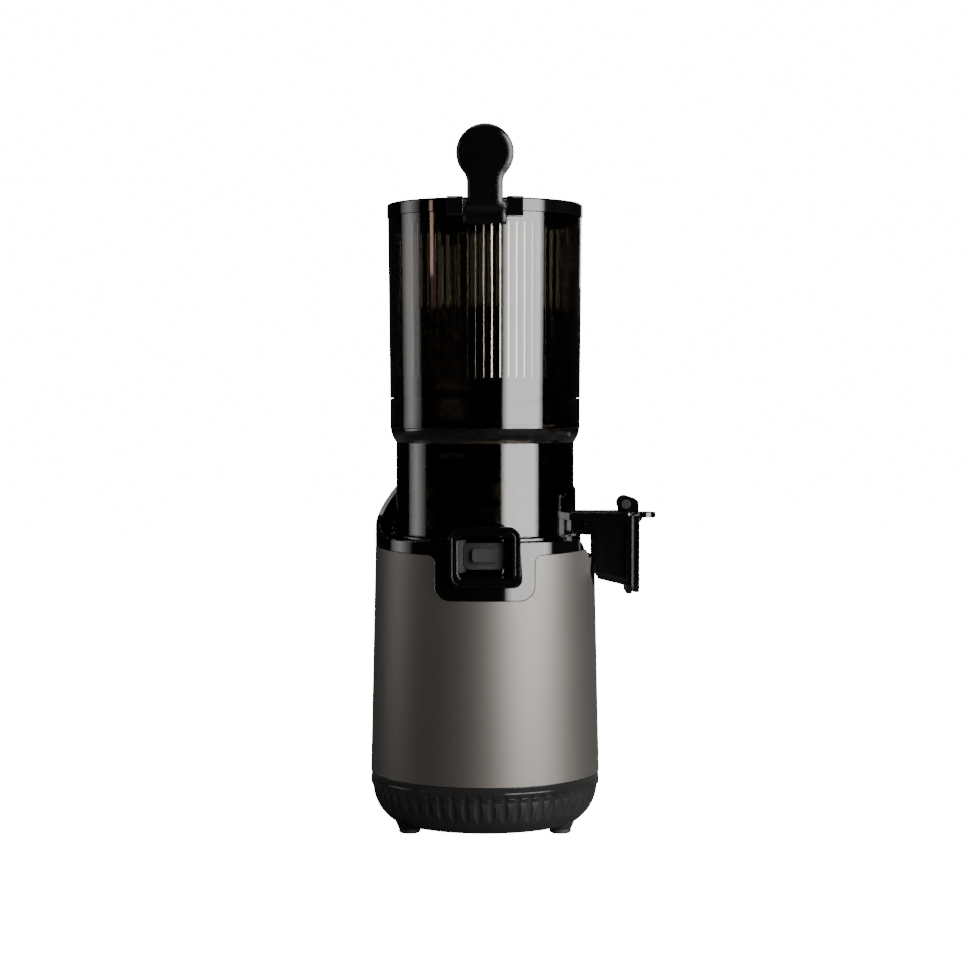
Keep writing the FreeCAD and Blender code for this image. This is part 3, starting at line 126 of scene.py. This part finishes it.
def make_moulded_grain():
    """Fine spark-eroded texture of moulded plastic and rubber"""
    tree, start, end, place = new_group("moulded_grain", {"Scale": 2600.0, "Depth": 0.5},
                                        ("Height", "Tone"))
    fine = noise(tree, place, start.outputs["Scale"], 3.0, 0.6)
    broad = noise(tree, place, 40.0, 3.0)
    join(tree, sums(tree, "MULTIPLY", fine, start.outputs["Depth"]), end.inputs["Height"])
    join(tree, spread(tree, broad, 0.3, 0.7), end.inputs["Tone"])
    return tree


def make_handling_marks():
    """Faint wiped streaks and finger smears on polished pieces"""
    tree, start, end, place = new_group("handling_marks", {"Amount": 1.0, "Size": 28.0},
                                        ("Smear", "Ripple"))
    stretch = tree.nodes.new("ShaderNodeMapping")
    stretch.inputs["Scale"].default_value = (1.0, 1.0, 0.35)
    join(tree, place, stretch.inputs["Vector"])
    smear = noise(tree, stretch.outputs["Vector"], start.outputs["Size"], 5.0, 0.62)
    patches = spread(tree, smear, 0.48, 0.78)
    join(tree, sums(tree, "MULTIPLY", patches, start.outputs["Amount"]), end.inputs["Smear"])
    join(tree, noise(tree, place, 160.0, 1.0), end.inputs["Ripple"])
    return tree


def make_settled_dust():
    """Thin dust where a surface faces up, broken by noise"""
    tree, start, end, place = new_group("settled_dust", {"Amount": 0.3}, ("Dust",))
    facing = tree.nodes.new("ShaderNodeSeparateXYZ")
    join(tree, tree.nodes.new("ShaderNodeNewGeometry").outputs["Normal"], facing.inputs["Vector"])
    upward = spread(tree, facing.outputs["Z"], 0.55, 1.0)
    specks = spread(tree, noise(tree, place, 900.0, 4.0, 0.7), 0.55, 0.8)
    dust = sums(tree, "MULTIPLY", sums(tree, "MULTIPLY", upward, specks), start.outputs["Amount"])
    join(tree, dust, end.inputs["Dust"])
    return tree


def make_metal_flakes():
    """Sparkle of the flakes in a metallic coat, and slow changes of its tone"""
    tree, start, end, place = new_group("metal_flakes", {"Scale": 5200.0}, ("Sparkle", "Tone"))
    cells = tree.nodes.new("ShaderNodeTexVoronoi")
    join(tree, place, cells.inputs["Vector"])
    join(tree, start.outputs["Scale"], cells.inputs["Scale"])
    parts = tree.nodes.new("ShaderNodeSeparateColor")
    join(tree, cells.outputs["Color"], parts.inputs["Color"])
    join(tree, parts.outputs["Red"], end.inputs["Sparkle"])
    join(tree, spread(tree, noise(tree, place, 9.0, 2.0), 0.3, 0.7), end.inputs["Tone"])
    return tree


def make_turning_lines():
    """Fine rings that a lathe leaves round the upright axis"""
    tree, start, end, place = new_group("turning_lines", {"Pitch": 900.0}, ("Height",))
    parts = tree.nodes.new("ShaderNodeSeparateXYZ")
    join(tree, place, parts.inputs["Vector"])
    level = sums(tree, "MULTIPLY", parts.outputs["Z"], start.outputs["Pitch"])
    lines = tree.nodes.new("ShaderNodeTexNoise")
    lines.noise_dimensions = "1D"
    lines.inputs["Scale"].default_value = 6.0
    join(tree, level, lines.inputs["W"])
    join(tree, lines.outputs["Fac"], end.inputs["Height"])
    return tree


GRAIN = make_moulded_grain()
MARKS = make_handling_marks()
DUST = make_settled_dust()
FLAKES = make_metal_flakes()
TURNING = make_turning_lines()


# Finishes

class Finish:
    """One material: its shader, its tree, and the links that every finish needs"""

    def __init__(self, name, **values):
        self.material = bpy.data.materials.new(name)
        self.material.use_nodes = True
        self.tree = self.material.node_tree
        self.shader = self.tree.nodes["Principled BSDF"]
        for label, value in values.items():
            self.shader.inputs[label.replace("_", " ")].default_value = value

    def group(self, tree, **values):
        made = self.tree.nodes.new("ShaderNodeGroup")
        made.node_tree = tree
        for label, value in values.items():
            made.inputs[label].default_value = value
        return made.outputs

    def colour(self, source):
        join(self.tree, source, self.shader.inputs["Base Color"])

    def rough(self, source):
        join(self.tree, source, self.shader.inputs["Roughness"])

    def relief(self, height, strength, distance=0.0002, edge=0.0):
        """Bump from a height, over edges that are rounded by edge in metres"""
        bump = self.tree.nodes.new("ShaderNodeBump")
        bump.inputs["Strength"].default_value = strength
        bump.inputs["Distance"].default_value = distance
        join(self.tree, height, bump.inputs["Height"])
        if edge:
            rounding = self.tree.nodes.new("ShaderNodeBevel")
            rounding.samples = 4
            rounding.inputs["Radius"].default_value = edge
            join(self.tree, rounding.outputs["Normal"], bump.inputs["Normal"])
        join(self.tree, bump.outputs["Normal"], self.shader.inputs["Normal"])


def satin_coat():
    """Warm grey metallic coat of the outer shell"""
    finish = Finish("satin_metal_coat", Metallic=0.9, Coat_Weight=0.08, Coat_Roughness=0.3)
    flakes = finish.group(FLAKES)
    marks = finish.group(MARKS, Amount=0.6, Size=14.0)
    tone = blend_colours(finish.tree, flakes["Tone"], (0.118, 0.107, 0.098), (0.128, 0.117, 0.107))
    spark = sums(finish.tree, "MULTIPLY", flakes["Sparkle"], 0.16)
    finish.colour(blend_colours(finish.tree, spark, tone, (0.20, 0.19, 0.18)))
    finish.rough(spread(finish.tree, marks["Smear"], 0.0, 1.0, 0.50, 0.56))
    finish.relief(flakes["Sparkle"], 0.035, edge=0.0004)
    return finish.material


def gloss_black(name="gloss_black_moulding", smear=1.0, edge=0.0005):
    """Polished black moulding with wipe marks and a little dust"""
    finish = Finish(name, Specular_IOR_Level=0.5, Coat_Roughness=0.03)
    marks = finish.group(MARKS, Amount=smear)
    dust = finish.group(DUST, Amount=0.07)
    tone = blend_colours(finish.tree, marks["Smear"], (0.0012, 0.0012, 0.0012), (0.0026, 0.0025, 0.0024))
    finish.colour(blend_colours(finish.tree, dust["Dust"], tone, (0.16, 0.155, 0.15)))
    wiped = spread(finish.tree, marks["Smear"], 0.0, 1.0, 0.06, 0.13)
    finish.rough(sums(finish.tree, "ADD", wiped, dust["Dust"]))
    finish.relief(marks["Ripple"], 0.02, 0.0004, edge)
    return finish.material


def moulded_black(name, tone, roughness, scale=2600.0, depth=0.5, edge=0.0004, polished_above=None):
    """Textured black plastic, polished above a level where one is given"""
    finish = Finish(name)
    grain = finish.group(GRAIN, Scale=scale, Depth=depth)
    dust = finish.group(DUST, Amount=0.35)
    deep = (tone, tone * 0.98, tone * 0.97)
    worn = (tone * 1.5, tone * 1.48, tone * 1.45)
    plain = blend_colours(finish.tree, grain["Tone"], deep, worn)
    finish.colour(blend_colours(finish.tree, dust["Dust"], plain, (0.22, 0.21, 0.20)))
    textured = spread(finish.tree, grain["Tone"], 0.0, 1.0, roughness - 0.04, roughness + 0.05)
    height = grain["Height"]
    if polished_above:
        level = split_place(finish.tree)["Z"]
        below = spread(finish.tree, level, polished_above, polished_above + 0.0002, 1.0, 0.0)
        textured = sums(finish.tree, "MULTIPLY", textured, spread(finish.tree, below, 0.0, 1.0, 0.2, 1.0))
        height = sums(finish.tree, "MULTIPLY", height, below)
    finish.rough(textured)
    finish.relief(height, 0.35, 0.0002, edge)
    return finish.material


def smoky_clear(name):
    """Smoke-tinted clear moulding"""
    finish = Finish(name, Transmission_Weight=1.0, IOR=1.52)
    marks = finish.group(MARKS, Amount=0.8, Size=20.0)
    thin = tuple(1.15 * channel for channel in SMOKE_TINT)
    finish.colour(blend_colours(finish.tree, marks["Smear"], SMOKE_TINT, thin))
    finish.rough(spread(finish.tree, marks["Smear"], 0.0, 1.0, 0.03, 0.08))
    finish.relief(marks["Ripple"], 0.015, 0.0004)
    return finish.material


def soft_rubber(name, tone, roughness=0.62):
    finish = Finish(name, Specular_IOR_Level=0.35)
    grain = finish.group(GRAIN, Scale=1800.0, Depth=0.7)
    pale = tuple(min(1.0, channel * 1.25) for channel in tone)
    finish.colour(blend_colours(finish.tree, grain["Tone"], tone, pale))
    finish.rough(spread(finish.tree, grain["Tone"], 0.0, 1.0, roughness - 0.06, roughness + 0.06))
    finish.relief(grain["Height"], 0.3, 0.0002, 0.0003)
    return finish.material


def turned_steel():
    """Bare steel with lathe lines"""
    finish = Finish("turned_steel", Metallic=1.0)
    lines = finish.group(TURNING)
    marks = finish.group(MARKS, Amount=0.5, Size=60.0)
    finish.colour(blend_colours(finish.tree, lines["Height"], (0.50, 0.50, 0.51), (0.64, 0.63, 0.62)))
    finish.rough(spread(finish.tree, marks["Smear"], 0.0, 1.0, 0.24, 0.36))
    finish.relief(lines["Height"], 0.12, 0.0001)
    return finish.material


def cast_alloy():
    """Die-cast gearbox and motor frames"""
    finish = Finish("cast_alloy", Metallic=0.9)
    grain = finish.group(GRAIN, Scale=900.0, Depth=1.0)
    finish.colour(blend_colours(finish.tree, grain["Tone"], (0.48, 0.48, 0.49), (0.58, 0.58, 0.59)))
    finish.rough(spread(finish.tree, grain["Height"], 0.3, 0.7, 0.42, 0.60))
    finish.relief(grain["Height"], 0.5, 0.0003)
    return finish.material


def layered_steel():
    """Stacked laminations of the motor's stator"""
    finish = Finish("layered_steel", Metallic=0.85)
    place = object_place(finish.tree)
    layers = finish.tree.nodes.new("ShaderNodeTexWave")
    layers.bands_direction = "Z"
    layers.inputs["Scale"].default_value = 320.0
    join(finish.tree, place, layers.inputs["Vector"])
    finish.colour(blend_colours(finish.tree, layers.outputs["Fac"], (0.14, 0.14, 0.15), (0.34, 0.34, 0.35)))
    finish.rough(spread(finish.tree, layers.outputs["Fac"], 0.0, 1.0, 0.38, 0.55))
    finish.relief(layers.outputs["Fac"], 0.4, 0.0002)
    return finish.material


def copper_wire():
    """Wound enamelled wire"""
    finish = Finish("copper_wire", Metallic=0.75, Coat_Weight=0.6)
    place = object_place(finish.tree)
    turns = finish.tree.nodes.new("ShaderNodeTexWave")
    turns.bands_direction = "Z"
    turns.inputs["Scale"].default_value = 420.0
    turns.inputs["Distortion"].default_value = 3.5
    turns.inputs["Detail"].default_value = 1.0
    join(finish.tree, place, turns.inputs["Vector"])
    finish.colour(blend_colours(finish.tree, turns.outputs["Fac"], (0.22, 0.07, 0.02), (0.68, 0.30, 0.12)))
    finish.rough(spread(finish.tree, turns.outputs["Fac"], 0.0, 1.0, 0.45, 0.28))
    finish.relief(turns.outputs["Fac"], 0.8, 0.0004)
    return finish.material


def gear_nylon():
    finish = Finish("gear_nylon", Subsurface_Weight=0.12)
    grain = finish.group(GRAIN, Scale=700.0, Depth=0.4)
    finish.colour(blend_colours(finish.tree, grain["Tone"], (0.66, 0.63, 0.55), (0.74, 0.71, 0.64)))
    finish.rough(spread(finish.tree, grain["Height"], 0.0, 0.5, 0.32, 0.45))
    finish.relief(grain["Height"], 0.15, 0.0002)
    return finish.material


def board_laminate():
    """Coated circuit board with pale tracks"""
    finish = Finish("board_laminate")
    place = object_place(finish.tree)
    tracks = finish.tree.nodes.new("ShaderNodeTexBrick")
    tracks.inputs["Scale"].default_value = 160.0
    tracks.inputs["Mortar Size"].default_value = 0.06
    join(finish.tree, place, tracks.inputs["Vector"])
    track = tracks.outputs["Fac"]
    finish.colour(blend_colours(finish.tree, track, (0.010, 0.085, 0.035), (0.05, 0.20, 0.09)))
    finish.rough(spread(finish.tree, tracks.outputs["Fac"], 0.0, 1.0, 0.34, 0.48))
    finish.relief(tracks.outputs["Fac"], 0.3, 0.0002)
    return finish.material


def fine_screen():
    """Metal screen of the strainer, with rows of small openings painted on as near-black spots of painted
    shade
    """
    finish = Finish("fine_screen", Metallic=1.0)
    parts = split_place(finish.tree)
    from_axis = sums(finish.tree, "SUBTRACT", parts["X"], AXIS_X)
    turn = sums(finish.tree, "ARCTAN2", parts["Y"], from_axis)
    rows = sums(finish.tree, "SINE", sums(finish.tree, "MULTIPLY", parts["Z"], SCREEN_ROWS), 0.0)
    columns = sums(finish.tree, "SINE", sums(finish.tree, "MULTIPLY", turn, SCREEN_COLUMNS), 0.0)
    painted_hole_shade = sums(finish.tree, "MULTIPLY", rows, columns)
    metal = spread(finish.tree, painted_hole_shade, 0.30, 0.42, 1.0, 0.0)
    # painted shade: near-black spots stand in for the dark inside seen through the screen's openings
    finish.colour(blend_colours(finish.tree, metal, (0.02, 0.02, 0.02), (0.55, 0.54, 0.52)))
    finish.rough(spread(finish.tree, metal, 0.0, 1.0, 0.8, 0.34))
    finish.relief(metal, 0.6, 0.0002)
    return finish.material


BLACK = gloss_black()
MATTE = moulded_black("matte_black_moulding", 0.007, 0.40, polished_above=POLISHED_LEVEL)
SMOKE = smoky_clear("smoky_hopper_wall")
STEEL = turned_steel()
ALLOY = cast_alloy()
RUBBER = soft_rubber("black_rubber", (0.012, 0.012, 0.012))
SILICONE = soft_rubber("pale_silicone", (0.50, 0.49, 0.47), 0.42)
NYLON = gear_nylon()

FINISHES = {
    "base_housing": MATTE,
    "rubber_feet": RUBBER,
    "bottom_cover": moulded_black("cover_black_moulding", 0.018, 0.5),
    "cover_screws": STEEL,
    "outer_shell": satin_coat(),
    "top_collar": BLACK,
    "tie_rods": STEEL,
    "motor_bracket": ALLOY,
    "motor_cap": ALLOY,
    "motor_bearings": STEEL,
    "motor_stator": layered_steel(),
    "motor_windings": copper_wire(),
    "motor_rotor": STEEL,
    "cooling_fan": moulded_black("fan_moulding", 0.02, 0.5),
    "gearbox_case": ALLOY,
    "gearbox_lid": ALLOY,
    "lay_gear": NYLON,
    "output_gear": NYLON,
    "drive_shaft": STEEL,
    "drive_bearing": STEEL,
    "shaft_seal": RUBBER,
    "control_board": board_laminate(),
    "safety_switch": moulded_black("switch_body_moulding", 0.02, 0.45),
    "switch_bezel": gloss_black("bezel_gloss_black", 0.6, 0.0004),
    "rocker_switch": moulded_black("rocker_moulding", 0.012, 0.3, 1800.0, 0.3),
    "cord_gland": RUBBER,
    "juicing_bowl": smoky_clear("smoky_bowl_wall"),
    "bowl_seal": SILICONE,
    "pulp_outlet": BLACK,
    "pulp_gate": soft_rubber("gate_silicone", (0.010, 0.010, 0.010), 0.62),
    "juice_spout": BLACK,
    "juice_cap": BLACK,
    "cap_gasket": soft_rubber("dark_silicone", (0.05, 0.05, 0.048), 0.42),
    "cap_pin": moulded_black("pin_moulding", 0.003, 0.3),
    "strainer_frame": moulded_black("strainer_moulding", 0.016, 0.32, 1800.0, 0.3),
    "strainer_mesh": fine_screen(),
    "auger": moulded_black("auger_moulding", 0.022, 0.34, 1400.0, 0.3),
    "auger_insert": STEEL,
    "hopper_base": SMOKE,
    "hopper_gasket": RUBBER,
    "hopper_tube": SMOKE,
    "lid": BLACK,
    "lid_gasket": RUBBER,
    "lid_pin": STEEL,
    "lid_lever": gloss_black("lever_gloss_black", 0.7, 0.0045),
    "lever_pin": STEEL,
}

for name, material in FINISHES.items():
    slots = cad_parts[name].data.materials
    slots.clear()
    slots.append(material)


# Studio

SURROUND_GLOW = 16.0  # as the camera sees it
ROOM_GLOW = 0.012  # as the pieces mirror it
FLOOR_GLOW = 16.0  # as the camera sees it
FLOOR_HALF = 8.0
FLOOR_DROP = 0.0002  # just below the feet
AIM_LEVEL = 0.26  # the lamps face this level of the axis
LEVEL_LAMP_TOP = 1.0  # lamps below this height face level
EDGE_GLOW = 0.12  # share of a lamp's light that is left at its sides


def seen_directly(tree, when_seen, otherwise):
    """One value for what the camera sees itself, and another for light that bounces"""
    path = tree.nodes.new("ShaderNodeLightPath")
    return spread(tree, path.outputs["Is Camera Ray"], 0.0, 1.0, otherwise, when_seen)


def pale_floor():
    """Wide plain floor, with a very slight unevenness in its tone"""
    finish = Finish("pale_floor", Specular_IOR_Level=0.0)
    place = object_place(finish.tree)
    tone = noise(finish.tree, place, 3.0)
    pale = blend_colours(finish.tree, tone, (0.86, 0.86, 0.86), (0.89, 0.89, 0.89))
    seen = seen_directly(finish.tree, 1.0, 0.0)
    finish.colour(blend_colours(finish.tree, seen, (0.10, 0.10, 0.10), pale))
    finish.rough(spread(finish.tree, tone, 0.0, 1.0, 0.55, 0.65))
    finish.shader.inputs["Emission Color"].default_value = (1.0, 1.0, 1.0, 1.0)
    glow = seen_directly(finish.tree, FLOOR_GLOW, 0.0)
    join(finish.tree, glow, finish.shader.inputs["Emission Strength"])
    mesh = bpy.data.meshes.new("floor")
    sides = [(-1, -1), (1, -1), (1, 1), (-1, 1)]
    mesh.from_pydata([(x * FLOOR_HALF, y * FLOOR_HALF, -FLOOR_DROP) for x, y in sides], [], [(0, 1, 2, 3)])
    floor = bpy.data.objects.new("floor", mesh)
    mesh.materials.append(finish.material)
    bpy.context.scene.collection.objects.link(floor)


def soft_edges(lamp, fade):
    """Dims a lamp towards its upright sides over a share of its width"""
    lamp.use_nodes = True
    tree = lamp.node_tree
    across = tree.nodes.new("ShaderNodeSeparateXYZ")
    join(tree, tree.nodes.new("ShaderNodeNewGeometry").outputs["Parametric"], across.inputs["Vector"])
    from_middle = sums(tree, "ABSOLUTE", sums(tree, "SUBTRACT", across.outputs["X"], 0.5), 0.0)
    glow = spread(tree, from_middle, 0.5 - fade, 0.5, 1.0, EDGE_GLOW)
    join(tree, glow, tree.nodes["Emission"].inputs["Strength"])


def softbox(name, azimuth, distance, height, size, power, colour=(1.0, 1.0, 1.0), fade=0.25):
    """Area light that faces the machine; azimuth 0 is the front and 90 the right"""
    lamp = bpy.data.lights.new(name, "AREA")
    lamp.shape = "RECTANGLE"
    lamp.size, lamp.size_y = size
    lamp.energy = power
    lamp.color = colour
    soft_edges(lamp, fade)
    holder = bpy.data.objects.new(name, lamp)
    holder.visible_camera = False
    angle = math.radians(azimuth)
    holder.location = (AXIS_X + distance * math.sin(angle), -distance * math.cos(angle), height)
    aim = Vector((AXIS_X, 0, AIM_LEVEL)) - holder.location
    aim.z = 0 if height < LEVEL_LAMP_TOP else aim.z
    holder.rotation_mode = "QUATERNION"
    holder.rotation_quaternion = aim.to_track_quat("-Z", "Y")
    bpy.context.scene.collection.objects.link(holder)


def studio_air():
    """White surround for the camera, while the pieces mirror a dim room"""
    world = bpy.data.worlds.new("studio_air")
    world.use_nodes = True
    back = world.node_tree.nodes["Background"]
    back.inputs["Color"].default_value = (1.0, 1.0, 1.0, 1.0)
    join(world.node_tree, seen_directly(world.node_tree, SURROUND_GLOW, ROOM_GLOW), back.inputs["Strength"])
    bpy.context.scene.world = world


def camera():
    data = bpy.data.cameras.new("camera")
    data.lens = CAMERA_LENS
    data.sensor_width = SENSOR_WIDTH
    holder = bpy.data.objects.new("camera", data)
    holder.location = (AXIS_X, -CAMERA_DISTANCE, CAMERA_HEIGHT)
    holder.rotation_euler = (math.radians(90 - CAMERA_PITCH), 0, 0)
    bpy.context.scene.collection.objects.link(holder)
    bpy.context.scene.camera = holder


pale_floor()
studio_air()
softbox("right_softbox", 46, 1.35, 0.62, (1.32, 1.5), 98, fade=0.16)
softbox("left_strip", -97, 1.2, 0.45, (0.72, 1.3), 8.0, fade=0.45)
softbox("warm_strip", -64, 1.3, 0.49, (0.12, 0.13), 0.3, (1.0, 0.63, 0.53))
softbox("top_light", 180, 0.5, 1.9, (1.6, 1.2), 14)
softbox("rear_softbox", 168, 1.7, 0.9, (0.9, 0.9), 9)
camera()
